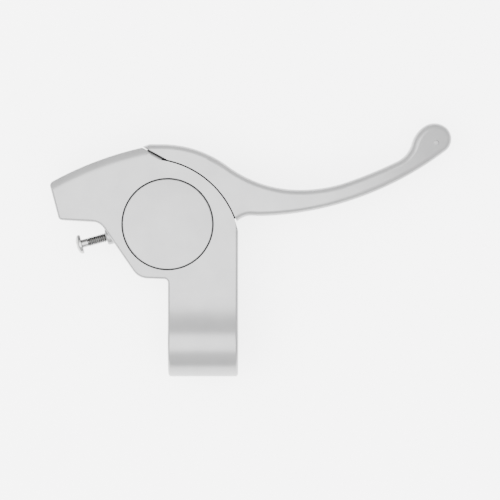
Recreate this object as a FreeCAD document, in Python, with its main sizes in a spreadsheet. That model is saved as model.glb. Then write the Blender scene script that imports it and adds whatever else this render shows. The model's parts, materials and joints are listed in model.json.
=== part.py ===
import FreeCAD, Part
import math
import os
import Sketcher
from FreeCAD import Placement, Rotation, Vector

# Right-hand brake lever for a 22.2 mm handlebar, in millimetres.
# X runs out along the handlebar, Y forward, Z up.
# The origin is the centre of the clamp bore.

os.makedirs("parts", exist_ok=True)
doc = FreeCAD.newDocument("brake_lever")

# Two places count as the same within this distance, when edges are looked up.
NEAR = 0.1
sheet = doc.addObject("Spreadsheet::Sheet", "sizes")

# Every size of the lever: name and value.
# Names that end in _x, _y or _z are places, all others are lengths or angles.
SIZES = [
    # handlebar clamp
    ("bore_radius", 11.15),
    ("ring_radius", 15.0),
    ("clamp_half_width", 14.4),
    ("neck_start_y", 18.0),
    ("ring_blend_radius", 33.07),
    ("lug_end_y", 22.9),
    ("lug_bottom_z", -13.2),
    ("split_top_z", -2.4),
    ("split_bottom_z", -4.8),
    ("split_back_y", 10.0),
    ("split_front_y", 24.6),
    ("split_floor_z", -20.0),
    ("casting_clear_z", 14.0),
    # casting of the housing
    ("half_depth", 11.5),
    ("edge_round", 1.2),
    ("housing_parting_radius", 37.92),
    ("slot_depth", 9.2),
    # pivot
    ("pivot_x", -22.6),
    ("pivot_y", 36.6),
    # plan outline of the housing
    ("nose_low_x", -59.06),
    ("nose_low_y", 49.62),
    ("nose_top_x", -63.1),
    ("nose_top_y", 64.75),
    ("crown_x", -24.95),
    ("crown_y", 79.36),
    ("crown_radius", 140.0),
    ("heel_x", -14.53),
    ("heel_y", 73.66),
    ("brow_x", 14.4),
    ("brow_y", 44.902),
    ("flank_y", 3.0),
    ("armpit_x", -14.4),
    ("armpit_y", 25.3),
    ("haunch_x", -26.53),
    ("haunch_y", 25.72),
    ("nose_low_round", 1.8),
    ("nose_top_round", 2.2),
    ("chin_round", 6.0),
    ("haunch_round", 7.5),
    ("armpit_round", 1.5),
    ("crown_round", 0.9),
    ("crown_fall_start", 136.0),
    ("crown_fall_end", 142.0),
    ("crown_fall_radius", 5.56),
    ("crown_edge_z", 9.8),
    ("chin_x", -42.38),
    ("chin_y", 48.75),
    # slot for the web of the lever, measured from the pivot
    ("slot_hub_x", -7.2),
    ("slot_hub_y", 0.0),
    ("slot_hub_radius", 7.2),
    ("slot_tip_x", -7.6),
    ("slot_tip_y", 4.0),
    ("slot_pad_x", -9.4),
    ("slot_pad_y", 12.5),
    ("slot_cheek_x", -18.3),
    ("slot_cheek_y", 23.5),
    ("slot_wall_x", -18.3),
    ("slot_wall_y", 32.39),
    ("slot_roof_x", -0.98),
    ("slot_roof_y", 37.19),
    ("slot_roof_radius", 37.2),
    ("slot_out_x", -1.2),
    ("slot_out_y", 52.0),
    ("slot_far_x", 52.0),
    ("slot_far_y", 52.0),
    ("slot_low_x", 52.0),
    ("slot_low_y", -2.7),
    ("slot_sole_x", 2.6),
    ("slot_sole_y", -6.71),
    # cover cap
    ("cap_x", -14.5),
    ("cap_y", 47.9),
    ("cap_radius", 18.45),
    ("recess_radius", 18.95),
    ("recess_floor_z", 8.0),
    ("cap_edge_z", 11.15),
    ("cap_edge_in", 18.05),
    ("cap_edge_top_z", 11.5),
    ("cap_crown_z", 12.35),
    ("cap_roof_z", 10.1),
    ("cap_rim_in", 17.45),
    ("cap_hub_radius", 4.0),
    ("cap_stem_radius", 2.0),
    ("cap_stem_bore", 2.1),
    ("cap_round", 0.4),
    ("head_relief", 4.8),
    ("cap_stem_end_z", 4.75),
    ("cap_barb_z", 5.0),
    ("cap_barb_radius", 1.7),
    ("clip_pocket_radius", 4.6),
    ("clip_pocket_z", 5.7),
    ("clip_bottom_z", 5.3),
    ("clip_radius", 4.0),
    ("clip_bore", 2.0),
    # pivot bolt, nut, washer
    ("shoulder_radius", 3.0),
    ("ear_bore", 3.05),
    ("bolt_head_radius", 4.2),
    ("bolt_head_z", 9.9),
    ("bolt_thread_radius", 2.5),
    ("bolt_end_z", -13.0),
    ("bolt_key_flats", 3.0),
    ("bolt_key_depth", 1.4),
    ("bolt_shoulder_z", -8.5),
    ("nut_pocket_radius", 5.3),
    ("washer_radius", 4.9),
    ("washer_bottom_z", -9.3),
    ("nut_bottom_z", -12.3),
    ("nut_flats", 8.0),
    # web and hub of the lever, measured from the pivot
    ("web_half", 3.9),
    ("hub_radius", 6.5),
    ("hub_bore", 4.0),
    ("tab_low_x", -5.1),
    ("tab_low_y", 7.3),
    ("tab_high_x", -6.54),
    ("tab_high_y", 12.5),
    ("lobe_low_x", -15.6),
    ("lobe_low_y", 24.4),
    ("lobe_high_x", -8.1),
    ("lobe_high_y", 34.66),
    ("lobe_radius", 6.8),
    ("anchor_x", -9.9),
    ("anchor_y", 28.1),
    ("web_roof_x", -0.4),
    ("web_roof_y", 36.4),
    ("web_tail_x", -0.45),
    ("web_tail_y", 43.0),
    ("web_head_x", 30.0),
    ("web_head_y", 30.0),
    ("web_brow_x", 38.5),
    ("web_brow_y", 15.3),
    ("web_sole_x", 3.2),
    ("web_sole_y", -5.66),
    ("web_hub_x", -6.5),
    ("web_hub_y", 0.0),
    ("web_window_x", 15.5),
    ("web_window_y", 15.0),
    ("web_window_radius", 5.0),
    # plan outline of the lever, measured from the pivot
    ("tail_x", -2.07),
    ("tail_y", 43.25),
    ("tail_top_x", 0.6),
    ("tail_top_y", 44.2),
    ("head_top_x", 5.8),
    ("head_top_y", 44.2),
    ("saddle_x", 32.69),
    ("saddle_y", 35.29),
    ("waist_x", 62.35),
    ("waist_y", 25.45),
    ("finger_x", 82.0),
    ("finger_y", 28.76),
    ("neck_x", 102.6),
    ("neck_y", 37.3),
    ("flank_top_x", 108.9),
    ("flank_top_y", 44.9),
    ("cheek_x", 113.54),
    ("cheek_y", 51.6),
    ("tip_top_x", 122.2),
    ("tip_top_y", 51.92),
    ("tip_low_x", 122.72),
    ("tip_low_y", 41.63),
    ("back_x", 48.6),
    ("back_y", 14.85),
    ("bump_x", 43.1),
    ("bump_y", 14.95),
    ("notch_x", 36.45),
    ("notch_y", 12.45),
    ("lever_parting_radius", 38.48),
    ("heel_lever_x", 8.33),
    ("heel_lever_y", 37.56),
    # side view of the blade
    ("blade_fall_x", 52.0),
    ("blade_tip_x", 128.0),
    ("blade_tip_z", 2.3),
    ("blade_fall_radius", 314.0),
    ("blade_round", 2.4),
    # blind hole in the flat end, measured from the pivot
    ("tip_hole_x", 118.8),
    ("tip_hole_y", 45.1),
    ("tip_hole_radius", 1.0),
    # hollow under the head of the lever
    ("hollow_in_radius", 41.0),
    ("hollow_in_low_x", 38.4),
    ("hollow_in_low_y", 17.0),
    ("hollow_out_low_x", 47.5),
    ("hollow_out_low_y", 17.6),
    ("hollow_out_high_x", 34.6),
    ("hollow_out_high_y", 31.6),
    ("hollow_in_high_x", 31.6),
    ("hollow_in_high_y", 27.3),
    # bushes of the pivot
    ("bush_bore", 3.05),
    ("bush_end_z", 0.5),
    ("bush_flange_radius", 4.8),
    ("bush_flange_z", 4.5),
    # cable anchor
    ("anchor_radius", 4.45),
    ("anchor_bore", 4.5),
    ("anchor_half", 3.7),
    ("anchor_head_radius", 3.5),
    ("anchor_roof_z", 2.6),
    ("cable_top_z", 1.3),
    ("fan_near_x", -18.2),
    ("fan_near_y", 26.2),
    ("fan_far_x", -15.4),
    ("fan_far_y", 21.0),
    ("fan_in_x", -8.6),
    ("fan_in_y", 28.6),
    ("cable_slot", 2.2),
    # return spring
    ("coil_radius", 5.9),
    ("wire_radius", 0.4),
    ("coil_low_z", -3.9),
    ("coil_pitch", 1.1),
    ("coil_turns", 2.408),
    ("leg_length", 8.6),
    ("coil_bends", 48),
    ("leg_start", 193.0),
    ("groove_a_x", 4.6),
    ("groove_a_y", -1.6),
    ("groove_b_x", 7.0),
    ("groove_b_y", -2.4),
    ("groove_c_x", 10.6),
    ("groove_c_y", 7.4),
    ("groove_d_x", 8.2),
    ("groove_d_y", 8.2),
    ("spring_well_radius", 7.0),
    ("spring_core_radius", 4.9),
    ("spring_well_z", -0.4),
    # reach screw, placed by the face of its boss
    ("cable_tilt", 15.5),
    ("boss_x", -40.2),
    ("boss_y", 42.6),
    ("boss_radius", 3.4),
    ("boss_length", 7.0),
    ("boss_round", 0.8),
    ("screw_radius", 2.0),
    ("screw_bore", 2.05),
    ("screw_head_radius", 4.0),
    ("cross_width", 1.0),
    ("cross_length", 4.4),
    ("cross_depth", 1.3),
    # cable entry in the nose
    ("cable_x", -60.9),
    ("cable_y", 56.8),
    ("ferrule_radius", 3.05),
    ("ferrule_depth", 12.0),
    ("cable_hole", 1.25),
    ("cable_hole_depth", 26.0),
    ("nose_step_x", -46.5),
    ("nose_bottom_z", -8.6),
    # clamp bolt and washer
    ("clamp_bolt_y", 17.4),
    ("clamp_thread_radius", 2.5),
    ("clamp_lug_bore", 2.75),
    ("clamp_thread_bore", 2.55),
    ("clamp_hole_top_z", 6.5),
    ("clamp_bolt_top_z", 5.0),
    ("clamp_seat_z", -11.4),
    ("clamp_seat_radius", 4.9),
    ("clamp_washer_radius", 4.6),
    ("clamp_head_radius", 4.25),
    ("clamp_key_flats", 4.0),
    ("clamp_key_depth", 2.6),
    # rubber stop pad, placed from the pivot
    ("pad_x", -13.0),
    ("pad_y", 16.95),
    ("pad_turn", 219.0),
    ("pad_radius", 2.0),
    ("pad_in", 3.0),
    # lightening pockets in the underside
    ("pocket_floor_z", -8.6),
    ("pocket_e_x", -23.0),
    ("pocket_e_y", 47.5),
    ("pocket_f_x", -23.0),
    ("pocket_f_y", 71.0),
    ("pocket_g_x", 2.0),
    ("pocket_g_y", 58.5),
    ("pocket_h_x", 9.5),
    ("pocket_h_y", 42.0),
    ("pocket_i_x", -8.0),
    ("pocket_i_y", 38.5),
    # small runs, tapers and edges
    ("lead_in", 2.0),
    ("zero_x", 0.0),
    ("nose_step_low_y", 40.0),
    ("nose_step_high_y", 80.0),
    ("nose_step_end_x", -75.0),
    ("blade_end_x", 140.0),
    ("blade_clear_z", 20.0),
    ("blade_clear_y", 220.0),
    ("tip_hole_floor_z", 1.5),
    ("hollow_roof_z", -5.5),
    ("relief_x", -8.1),
    ("relief_y", -11.3),
    ("bolt_head_in", 3.9),
    ("bolt_head_low_z", 9.6),
    ("bolt_taper_z", -12.6),
    ("bolt_tip_radius", 2.1),
    ("washer_bore", 2.6),
    ("nut_bore", 2.5),
    ("clamp_tip_radius", 2.0),
    ("clamp_taper_z", 4.5),
    ("clamp_head_top_z", -12.2),
    ("clamp_head_low_z", -16.4),
    ("clamp_head_bottom_z", -16.8),
    ("clamp_head_in", 3.85),
    ("screw_tip_x", 5.7),
    ("screw_tip_radius", 1.5),
    ("screw_taper_x", 5.2),
    ("screw_seat_x", -10.3),
    ("screw_rim_x", -11.1),
    ("screw_crown_x", -12.8),
    ("pad_rim_x", -1.9),
    ("pad_face_x", -2.28),
    ("pad_face_radius", 1.6),
]
size = {}
for row, (name, value) in enumerate(SIZES, start=1):
    sheet.set("A" + str(row), name.replace("_", " "))
    sheet.set("B" + str(row), str(value))
    sheet.setAlias("B" + str(row), name)
    size[name] = value

# Places that follow from other sizes: name and formula.
# The centre of the crown arc lies square to the middle of its chord.
CHORD = "sqrt((nose_top_x - crown_x) ^ 2 + (nose_top_y - crown_y) ^ 2)"
SAGITTA_ARM = "sqrt(crown_radius ^ 2 - crown_chord ^ 2 / 4) / crown_chord"
DERIVED = [
    ("crown_chord", CHORD),
    ("crown_arm", SAGITTA_ARM),
    ("crown_centre_x", "(nose_top_x + crown_x) / 2 + crown_arm * (crown_y - nose_top_y)"),
    ("crown_centre_y", "(nose_top_y + crown_y) / 2 - crown_arm * (crown_x - nose_top_x)"),
]
for row, (name, formula) in enumerate(DERIVED, start=len(SIZES) + 1):
    sheet.set("A" + str(row), name.replace("_", " "))
    sheet.set("B" + str(row), "=" + formula)
    sheet.setAlias("B" + str(row), name)
    doc.recompute()
    size[name] = sheet.get(name)


def bind(item, prop, formula):
    """Ties one property of an object to a formula of the size sheet."""
    item.setExpression(prop, formula)


def new_body(label):
    """A new body, whose label is the name of the piece."""
    body = doc.addObject("PartDesign::Body", label)
    body.Label = label
    return body


def place_body(body, x_name, y_name, turn=None):
    """Sets a body down at a place of the sheet, turned about Z if asked."""
    angle = size[turn] if turn else 0.0
    body.Placement = Placement(Vector(size[x_name], size[y_name], 0), Rotation(Vector(0, 0, 1), angle))
    bind(body, "Placement.Base.x", "sizes." + x_name)
    bind(body, "Placement.Base.y", "sizes." + y_name)
    if turn:
        bind(body, "Placement.Rotation.Angle", "sizes." + turn)


def new_sketch(body, role, label, height=None):
    """A sketch on one origin plane of the body, lifted to a height if asked."""
    plane = [item for item in body.Origin.OriginFeatures if item.Role == role][0]
    sketch = body.newObject("Sketcher::SketchObject", label)
    sketch.AttachmentSupport = [(plane, "")]
    sketch.MapMode = "FlatFace"
    if height:
        sketch.AttachmentOffset = Placement(Vector(0, 0, size[height]), Rotation())
        bind(sketch, "AttachmentOffset.Base.z", "sizes." + height)
    return sketch


def pin(sketch, shape_index, end, x_text, y_text, spot):
    """Fixes one end of a line or arc at a place given by two formulas."""
    for kind, text, value in (("DistanceX", x_text, spot.x), ("DistanceY", y_text, spot.y)):
        index = sketch.addConstraint(Sketcher.Constraint(kind, -1, 1, shape_index, end, value))
        if text:
            sketch.setExpression("Constraints[" + str(index) + "]", text)


def spot_of(corner):
    """The place and the two formulas of a corner, named as one or two sizes."""
    if isinstance(corner, str):
        corner = (corner + "_x", corner + "_y")
    place = []
    texts = []
    for part in corner:
        if part is None:
            place.append(0.0)
            texts.append(None)
        elif part.startswith("-"):
            place.append(-size[part[1:]])
            texts.append("-sizes." + part[1:])
        else:
            place.append(size[part])
            texts.append("sizes." + part)
    return Vector(place[0], place[1], 0), texts


def arc_between(start, finish, centre, left):
    """An arc about a centre, and which of its ends is the start."""
    begin = math.atan2(start.y - centre.y, start.x - centre.x)
    stop = math.atan2(finish.y - centre.y, finish.x - centre.x)
    full = Part.Circle(centre, Vector(0, 0, 1), (start - centre).Length)
    if left:
        return Part.ArcOfCircle(full, begin, stop), (1, 2)
    return Part.ArcOfCircle(full, stop, begin), (2, 1)


def chain(sketch, corners):
    """Closes a chain of lines and arcs through the corners.

    A corner is a name or a pair of sizes. In a list with "smooth" the arc that
    leaves it goes on in the direction of the piece before it, and with "dome" it
    leaves a corner on the axis square to that axis. In a list with a radius the
    arc has that radius, led by + for a left turn and - for a right one.
    """
    steps = []
    for item in corners:
        corner, bend = item if isinstance(item, list) else (item, None)
        spot, texts = spot_of(corner)
        steps.append((spot, texts, bend))
    ends = []
    heading = None
    for index, (start, texts, bend) in enumerate(steps):
        finish = steps[(index + 1) % len(steps)][0]
        run = finish - start
        if bend is None:
            sketch.addGeometry(Part.LineSegment(start, finish), False)
            ends.append((1, 2))
            heading = math.atan2(run.y, run.x)
            continue
        course = math.atan2(run.y, run.x)
        if bend == "dome":
            flat = texts[0] is None
            drop = start.y - finish.y if flat else finish.x - start.x
            radius = run.Length * run.Length / (2 * drop)
            centre = Vector(0, start.y - radius, 0) if flat else Vector(start.x + radius, 0, 0)
            arc, order = arc_between(start, finish, centre, False)
            sketch.addGeometry(arc, False)
            ends.append(order)
            sketch.addConstraint(Sketcher.Constraint("PointOnObject", index, 3, -2 if flat else -1))
            continue
        if bend == "smooth":
            turn = math.remainder(course - heading, 2 * math.pi)
            radius = abs(run.Length / (2 * math.sin(turn)))
        else:
            radius = size[bend[1:]]
            turn = math.asin(run.Length / (2 * radius)) * (1 if bend[0] == "+" else -1)
        rise = radius * math.cos(turn) * (1 if turn > 0 else -1)
        centre = (start + finish) * 0.5 + Vector(-run.y, run.x, 0).normalize() * rise
        arc, order = arc_between(start, finish, centre, turn > 0)
        sketch.addGeometry(arc, False)
        ends.append(order)
        heading = course + turn
    for index, (start, texts, bend) in enumerate(steps):
        kind = "Tangent" if bend == "smooth" else "Coincident"
        before = (index - 1) % len(steps)
        sketch.addConstraint(Sketcher.Constraint(kind, before, ends[before][1], index, ends[index][0]))
        pin(sketch, index, ends[index][0], texts[0], texts[1], start)
        if bend not in (None, "smooth", "dome"):
            number = sketch.addConstraint(Sketcher.Constraint("Radius", index, size[bend[1:]]))
            sketch.setExpression("Constraints[" + str(number) + "]", "sizes." + bend[1:])


def circle(sketch, radius, corner=(None, None)):
    """A full circle about a corner."""
    spot, texts = spot_of(corner)
    index = sketch.addGeometry(Part.Circle(spot, Vector(0, 0, 1), size[radius]), False)
    pin(sketch, index, 3, texts[0], texts[1], spot)
    number = sketch.addConstraint(Sketcher.Constraint("Radius", index, size[radius]))
    sketch.setExpression("Constraints[" + str(number) + "]", "sizes." + radius)


def hexagon(sketch, flats):
    """A hexagon about the middle, given by the width across its flats."""
    reach = size[flats] / math.sqrt(3)
    points = [Vector(reach * math.cos(math.radians(60 * k)), reach * math.sin(math.radians(60 * k)), 0)
              for k in range(6)]
    for index in range(6):
        sketch.addGeometry(Part.LineSegment(points[index], points[(index + 1) % 6]), False)
    for index in range(6):
        sketch.addConstraint(Sketcher.Constraint("Coincident", index, 2, (index + 1) % 6, 1))
    for index in range(6):
        angle = str(60 * index) + " deg"
        reach_text = "sizes." + flats + " / sqrt(3)"
        pin(sketch, index, 1, reach_text + " * cos(" + angle + ")",
            reach_text + " * sin(" + angle + ")", points[index])


def pad(body, sketch, label, length, both=False, reverse=False):
    """Pads a sketch by a length of the sheet, to both sides if asked."""
    item = body.newObject("PartDesign::Pad", label)
    item.Profile = sketch
    item.Midplane = both
    item.Reversed = reverse
    bind(item, "Length", length)
    body.Tip = item
    doc.recompute()
    return item


def pocket(body, sketch, label, length, both=False, reverse=False):
    """Cuts a sketch by a length of the sheet and checks that it took metal away."""
    before = body.Tip.Shape.Volume
    item = body.newObject("PartDesign::Pocket", label)
    item.Profile = sketch
    item.Midplane = both
    item.Reversed = reverse
    bind(item, "Length", length)
    body.Tip = item
    doc.recompute()
    if item.Shape.Volume > before - 0.01:
        raise ValueError(label + " takes nothing away")
    return item


def turned(body, sketch, label, axis="V_Axis", cut=False):
    """Turns a sketch once round one of its own axes."""
    kind = "PartDesign::Groove" if cut else "PartDesign::Revolution"
    item = body.newObject(kind, label)
    item.Profile = sketch
    item.ReferenceAxis = (sketch, [axis])
    item.Angle = 360
    body.Tip = item
    doc.recompute()
    return item


def rod(body, label, kind, radius, length, start, tilt, x_text, y_text):
    """A round bar or hole along the tilt of the cable, from a place in the plan."""
    item = body.newObject("PartDesign::" + kind + "Cylinder", label)
    along = Vector(math.cos(math.radians(tilt)), math.sin(math.radians(tilt)), 0)
    item.Placement = Placement(start, Rotation(Vector(0, 0, 1), along))
    bind(item, "Radius", radius)
    bind(item, "Height", length)
    bind(item, "Placement.Base.x", x_text)
    bind(item, "Placement.Base.y", y_text)
    body.Tip = item
    doc.recompute()
    return item


def round_edges(body, label, radius, wanted):
    """Rounds the edges of the body for which the test holds."""
    base = body.Tip
    names = []
    for number, edge in enumerate(base.Shape.Edges, start=1):
        if wanted(edge):
            names.append("Edge" + str(number))
    item = body.newObject("PartDesign::Fillet", label)
    item.Base = (base, names)
    bind(item, "Radius", radius)
    body.Tip = item
    doc.recompute()
    return item


def flat_at(edge, height):
    """True for an edge that lies level at a height."""
    box = edge.BoundBox
    return abs(box.ZMin - height) < NEAR and abs(box.ZMax - height) < NEAR


def upright_at(corner):
    """A test for the upright edge that stands on a corner of the plan."""
    def wanted(edge):
        box = edge.BoundBox
        level_run = max(box.XLength, box.YLength)
        off = math.hypot(box.Center.x - size[corner + "_x"], box.Center.y - size[corner + "_y"])
        return level_run < NEAR and off < NEAR
    return wanted


pivot = Vector(size["pivot_x"], size["pivot_y"], 0)

# Housing: the plan outline of the casting, then the clamp ring with its lug.
housing = new_body("housing")
plan = new_sketch(housing, "XY_Plane", "housing_plan")
chain(plan, [
    "nose_low",
    "chin",
    "haunch",
    "armpit",
    ("-clamp_half_width", "flank_y"),
    ("clamp_half_width", "flank_y"),
    ["brow", "+housing_parting_radius"],
    "heel",
    ["crown", "+crown_radius"],
    "nose_top",
])
pad(housing, plan, "housing_block", "sizes.half_depth * 2", both=True)
for corner_name in ("nose_low", "chin", "haunch", "armpit", "nose_top", "crown"):
    round_edges(housing, corner_name + "_corner", "sizes." + corner_name + "_round", upright_at(corner_name))

clamp_plan = new_sketch(housing, "YZ_Plane", "clamp_side")
lug_end = size["lug_end_y"]
neck_start = size["neck_start_y"]
top_z = size["half_depth"]
lug_z = size["lug_bottom_z"]
ring_out = size["ring_radius"]
blend = size["ring_blend_radius"]
blend_centre = Vector(neck_start, top_z + blend, 0)
touch = blend_centre * (ring_out / blend_centre.Length)
lug_side = Vector(math.sqrt(ring_out * ring_out - lug_z * lug_z), lug_z, 0)
TOP, BLEND, RING, LUG, FRONT = range(5)
for piece in (
        Part.LineSegment(Vector(lug_end, top_z, 0), Vector(neck_start, top_z, 0)),
        arc_between(Vector(neck_start, top_z, 0), touch, blend_centre, False)[0],
        arc_between(touch, lug_side, Vector(0, 0, 0), True)[0],
        Part.LineSegment(lug_side, Vector(lug_end, lug_z, 0)),
        Part.LineSegment(Vector(lug_end, lug_z, 0), Vector(lug_end, top_z, 0))):
    clamp_plan.addGeometry(piece, False)
for rule in (("Tangent", TOP, 2, BLEND, 2), ("Tangent", BLEND, 1, RING, 1), ("Coincident", RING, 2, LUG, 1),
             ("Coincident", LUG, 2, FRONT, 1), ("Coincident", FRONT, 2, TOP, 1),
             ("Coincident", RING, 3, -1, 1), ("Horizontal", TOP), ("Horizontal", LUG)):
    clamp_plan.addConstraint(Sketcher.Constraint(*rule))
pin(clamp_plan, TOP, 1, "sizes.lug_end_y", "sizes.half_depth", Vector(lug_end, top_z, 0))
pin(clamp_plan, FRONT, 1, "sizes.lug_end_y", "sizes.lug_bottom_z", Vector(lug_end, lug_z, 0))
for shape_index, radius_name in ((BLEND, "ring_blend_radius"), (RING, "ring_radius")):
    number = clamp_plan.addConstraint(Sketcher.Constraint("Radius", shape_index, size[radius_name]))
    clamp_plan.setExpression("Constraints[" + str(number) + "]", "sizes." + radius_name)
pad(housing, clamp_plan, "clamp_ring", "sizes.clamp_half_width * 2", both=True)
split = new_sketch(housing, "YZ_Plane", "clamp_split")
chain(split, [
    ("split_back_y", "split_bottom_z"),
    ("lug_end_y", "split_bottom_z"),
    ("lug_end_y", "split_floor_z"),
    ("split_front_y", "split_floor_z"),
    ("split_front_y", "split_top_z"),
    ("split_back_y", "split_top_z"),
])
pocket(housing, split, "clamp_gap", "sizes.clamp_half_width * 2 + sizes.lead_in", both=True)


def on_housing_rim(edge):
    """True for the outer edges above and below, but not for those along the parting line."""
    low, high = edge.ParameterRange
    middle = edge.valueAt((low + high) / 2)
    if edge.BoundBox.XLength < NEAR and abs(abs(middle.x) - size["clamp_half_width"]) < NEAR:
        inner = edge.BoundBox.ZLength < NEAR and size["split_bottom_z"] - NEAR < middle.z < 0
        return edge.BoundBox.YLength > NEAR and not inner
    if not flat_at(edge, size["half_depth"]) and not flat_at(edge, -size["half_depth"]):
        return False
    away = (Vector(middle.x, middle.y, 0) - pivot).Length
    parting = middle.y > size["brow_y"] and middle.x > size["crown_x"] + NEAR and away < size["tail_y"]
    return middle.y > size["split_front_y"] + NEAR and not parting


round_edges(housing, "housing_rounds", "sizes.edge_round", on_housing_rim)

# The top and bottom faces fall away softly towards the crown of the casting.
for label, sign, bend in (("top", "", "-"), ("bottom", "-", "+")):
    fall = new_sketch(housing, "XZ_Plane", "crown_" + label + "_line")
    fall.AttachmentOffset = Placement(Vector(size["crown_centre_x"], 0, -size["crown_centre_y"]), Rotation())
    bind(fall, "AttachmentOffset.Base.x", "sizes.crown_centre_x")
    bind(fall, "AttachmentOffset.Base.z", "-sizes.crown_centre_y")
    chain(fall, [
        [("crown_fall_start", sign + "half_depth"), bend + "crown_fall_radius"],
        ("crown_radius", sign + "crown_edge_z"),
        ("crown_fall_end", sign + "crown_edge_z"),
        ("crown_fall_end", sign + "casting_clear_z"),
        ("crown_fall_start", sign + "casting_clear_z"),
    ])
    turned(housing, fall, "crown_" + label + "_fall", cut=True)

bore = new_sketch(housing, "YZ_Plane", "bar_bore_circle")
circle(bore, "bore_radius")
pocket(housing, bore, "bar_bore", "sizes.clamp_half_width * 2 + sizes.lead_in", both=True)

# The bolt of the clamp goes up through the lug and into the neck.
bolt_place = (None, "clamp_bolt_y")
thread = new_sketch(housing, "XY_Plane", "clamp_thread_circle", "clamp_hole_top_z")
circle(thread, "clamp_thread_bore", bolt_place)
pocket(housing, thread, "clamp_thread_hole", "sizes.clamp_hole_top_z - sizes.split_bottom_z")
lug_hole = new_sketch(housing, "XY_Plane", "clamp_lug_circle", "split_bottom_z")
circle(lug_hole, "clamp_lug_bore", bolt_place)
pocket(housing, lug_hole, "clamp_lug_hole", "sizes.split_bottom_z - sizes.lug_bottom_z + sizes.lead_in")
seat = new_sketch(housing, "XY_Plane", "clamp_seat_circle", "clamp_seat_z")
circle(seat, "clamp_seat_radius", bolt_place)
pocket(housing, seat, "clamp_seat", "sizes.clamp_seat_z - sizes.lug_bottom_z + sizes.lead_in")

# The slot between the two ears, where the web of the lever swings.
slot = new_sketch(housing, "XY_Plane", "web_slot_plan")
slot.AttachmentOffset = Placement(pivot, Rotation())
bind(slot, "AttachmentOffset.Base.x", "sizes.pivot_x")
bind(slot, "AttachmentOffset.Base.y", "sizes.pivot_y")
chain(slot, [
    ["slot_hub", "+slot_hub_radius"],
    "slot_sole",
    "slot_low",
    "slot_far",
    "slot_out",
    ["slot_roof", "+slot_roof_radius"],
    "slot_wall",
    "slot_cheek",
    "slot_pad",
    "slot_tip",
])
pocket(housing, slot, "web_slot", "sizes.slot_depth", both=True)

# The round recess for the cover cap, with the hole for its stem.
recess = new_sketch(housing, "XY_Plane", "cap_recess_circle", "recess_floor_z")
circle(recess, "recess_radius", "cap")
pocket(housing, recess, "cap_recess", "sizes.half_depth", reverse=True)
stem_hole = new_sketch(housing, "XY_Plane", "cap_stem_circle", "recess_floor_z")
circle(stem_hole, "cap_stem_bore", "cap")
pocket(housing, stem_hole, "cap_stem_hole", "sizes.recess_floor_z - sizes.web_half")
clip_room = new_sketch(housing, "XY_Plane", "clip_pocket_circle", "clip_pocket_z")
circle(clip_room, "clip_pocket_radius", "cap")
pocket(housing, clip_room, "clip_pocket", "sizes.clip_pocket_z - sizes.web_half")

# The pivot hole through both ears and the pocket of its nut.
ear_hole = new_sketch(housing, "XY_Plane", "ear_bore_circle")
circle(ear_hole, "ear_bore", "pivot")
pocket(housing, ear_hole, "ear_bore_hole", "sizes.half_depth * 2", both=True)
nut_room = new_sketch(housing, "XY_Plane", "nut_pocket_circle", "bolt_shoulder_z")
circle(nut_room, "nut_pocket_radius", "pivot")
pocket(housing, nut_room, "nut_pocket", "sizes.half_depth")

# The nose is thinner underneath, and the ear below is lightened.
step = new_sketch(housing, "XY_Plane", "nose_step_plan", "nose_bottom_z")
chain(step, [
    ("nose_step_x", "nose_step_low_y"),
    ("nose_step_x", "nose_step_high_y"),
    ("nose_step_end_x", "nose_step_high_y"),
    ("nose_step_end_x", "nose_step_low_y"),
])
pocket(housing, step, "nose_step", "sizes.half_depth")
light = new_sketch(housing, "XY_Plane", "light_pocket_plan", "pocket_floor_z")
chain(light, ["pocket_e", "pocket_i", "pocket_h", "pocket_g", "pocket_f"])
pocket(housing, light, "light_pocket", "sizes.half_depth")

# The boss of the reach screw, the cable bore in the nose and the cable slot.
tilt = size["cable_tilt"]
across = "cos(sizes.cable_tilt * 1 deg)"
upward = "sin(sizes.cable_tilt * 1 deg)"
along = Vector(math.cos(math.radians(tilt)), math.sin(math.radians(tilt)), 0)
boss = Vector(size["boss_x"], size["boss_y"], 0)
nose = Vector(size["cable_x"], size["cable_y"], 0)
rod(housing, "screw_boss", "Additive", "sizes.boss_radius", "sizes.boss_length",
    boss, tilt, "sizes.boss_x", "sizes.boss_y")
round_edges(housing, "boss_rim", "sizes.boss_round", lambda edge: (
    edge.Curve.TypeId == "Part::GeomCircle" and (edge.Curve.Center - boss).Length < NEAR))
rod(housing, "screw_hole", "Subtractive", "sizes.screw_bore", "sizes.ferrule_depth",
    boss - along * size["lead_in"], tilt,
    "sizes.boss_x - sizes.lead_in * " + across, "sizes.boss_y - sizes.lead_in * " + upward)
rod(housing, "ferrule_bore", "Subtractive", "sizes.ferrule_radius", "sizes.ferrule_depth + sizes.lead_in",
    nose - along * size["lead_in"], tilt,
    "sizes.cable_x - sizes.lead_in * " + across, "sizes.cable_y - sizes.lead_in * " + upward)
rod(housing, "cable_hole_run", "Subtractive", "sizes.cable_hole", "sizes.cable_hole_depth",
    nose, tilt, "sizes.cable_x", "sizes.cable_y")
groove = housing.newObject("PartDesign::SubtractiveBox", "cable_groove")
groove_end = nose - along * size["lead_in"] + Vector(along.y, -along.x, 0) * (size["cable_slot"] / 2)
groove.Placement = Placement(groove_end - Vector(0, 0, size["half_depth"]), Rotation(Vector(0, 0, 1), tilt))
bind(groove, "Length", "sizes.cable_hole_depth")
bind(groove, "Width", "sizes.cable_slot")
bind(groove, "Height", "sizes.half_depth")
bind(groove, "Placement.Rotation.Angle", "sizes.cable_tilt")
housing.Tip = groove
doc.recompute()

# The blind hole for the rubber pad that stops the lever.
pad_turn = size["pad_turn"]
pad_spot = pivot + Vector(size["pad_x"], size["pad_y"], 0)
rod(housing, "pad_hole", "Subtractive", "sizes.pad_radius", "sizes.pad_in", pad_spot, pad_turn,
    "sizes.pivot_x + sizes.pad_x", "sizes.pivot_y + sizes.pad_y")

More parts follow.
